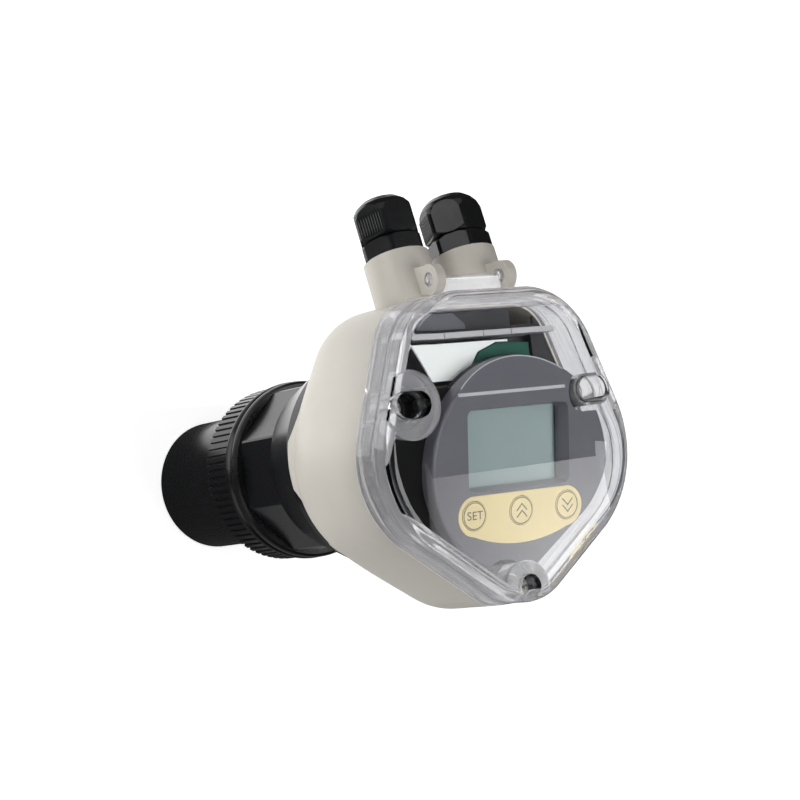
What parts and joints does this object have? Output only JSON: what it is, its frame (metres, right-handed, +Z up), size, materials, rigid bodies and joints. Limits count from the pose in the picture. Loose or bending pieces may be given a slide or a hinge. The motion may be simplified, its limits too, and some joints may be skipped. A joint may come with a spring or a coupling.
{
  "type": "ultrasonic level transmitter",
  "caption": "Compact level transmitter: threaded black sounding probe with knurled lock nut, beige head, hinged clear cover over a display with keys, and cable glands.",
  "frame": {"origin": "centre of the sounding face at the bottom of the probe", "axes": "+Z up along the probe axis towards the clear cover, +Y towards the cable glands, +X to the right when facing the display with the glands up"},
  "size_m": [0.1162, 0.1654, 0.2265],
  "materials": {
    "black_gloss": "smooth black moulding with a soft gloss",
    "black_satin": "satin black moulding",
    "seal_rubber": "smooth black elastomer",
    "face_grey": "matt matching layer",
    "piezo_ceramic": "fired ceramic",
    "potting": "filled resin",
    "beige": "fine-textured beige-grey moulding",
    "clear": "clear polished moulding",
    "steel": "bright steel",
    "board_green": "solder-masked board",
    "bezel_grey": "satin grey moulding",
    "carrier_black": "matt black moulding",
    "lcd": "pale grey-green display",
    "gold_film": "printed straw-gold film",
    "terminal_green": "green moulding",
    "card_white": "white printed card",
    "strip_light": "light marker strip",
    "shelf_grey": "dark grey moulding"
  },
  "bodies": {
    "body": {"probe_body": "black_gloss", "sounding_face": "face_grey", "piezo_disc": "piezo_ceramic", "damping_block": "potting", "flange_seal": "seal_rubber", "flange_screws": "steel", "housing": "beige", "cover_gasket": "seal_rubber", "main_board": "board_green", "board_screws": "steel", "terminal_shelf": "shelf_grey", "shelf_screws": "steel", "terminal_block": "terminal_green", "terminal_screws": "steel", "marker_strip": "strip_light", "wiring_card": "card_white", "ledge_plate": "bezel_grey", "carrier_plate": "carrier_black", "carrier_screws": "steel", "bezel": "bezel_grey", "display": "lcd", "display_board": "board_green", "keypad_strip": "gold_film", "key_switches": "carrier_black", "gland_body_left": "black_satin", "gland_body_right": "black_satin", "gland_seal_left": "seal_rubber", "gland_seal_right": "seal_rubber"},
    "cover": {"cover": "clear", "cover_screws": "steel"},
    "key_set": {"key_set": "gold_film"},
    "key_up": {"key_up": "gold_film"},
    "key_down": {"key_down": "gold_film"},
    "seal_ring": {"seal_ring": "seal_rubber"},
    "lock_nut": {"lock_nut": "black_satin"},
    "gland_nut_left": {"gland_nut_left": "black_satin"},
    "gland_nut_right": {"gland_nut_right": "black_satin"}
  },
  "joints": [
    {"name": "cover_hinge", "type": "hinge", "parent": "body", "child": "cover", "pos_m": [0, 0.0629, 0.2118], "axis": [-1, 0, 0], "range_deg": [0, 110]},
    {"name": "press_set", "type": "slide", "parent": "body", "child": "key_set", "axis": [0, 0.1779, -0.984], "range_m": [0, 0.0005], "stiffness_N_per_m": 400, "springref_m": -0.0008},
    {"name": "press_up", "type": "slide", "parent": "body", "child": "key_up", "axis": [0, 0.1779, -0.984], "range_m": [0, 0.0005], "stiffness_N_per_m": 400, "springref_m": -0.0008},
    {"name": "press_down", "type": "slide", "parent": "body", "child": "key_down", "axis": [0, 0.1779, -0.984], "range_m": [0, 0.0005], "stiffness_N_per_m": 400, "springref_m": -0.0008},
    {"name": "ring_travel", "type": "slide", "parent": "body", "child": "seal_ring", "axis": [0, 0, -1], "range_m": [0, 0.0201]},
    {"name": "nut_turn", "type": "hinge", "parent": "seal_ring", "child": "lock_nut", "pos_m": [0, 0, 0.067], "axis": [0, 0, -1], "range_deg": [0, 3600]},
    {"name": "gland_turn_left", "type": "hinge", "parent": "body", "child": "gland_nut_left", "pos_m": [-0.0163, 0.08586, 0.18479], "axis": [0, 0.9636, -0.2672], "continuous": true},
    {"name": "gland_turn_right", "type": "hinge", "parent": "body", "child": "gland_nut_right", "pos_m": [0.0163, 0.08586, 0.18479], "axis": [0, 0.9636, -0.2672], "continuous": true}
  ],
  "couplings": [
    {"joint": "ring_travel", "follows": "nut_turn", "m_per_rad": 0.00031831}
  ]
}
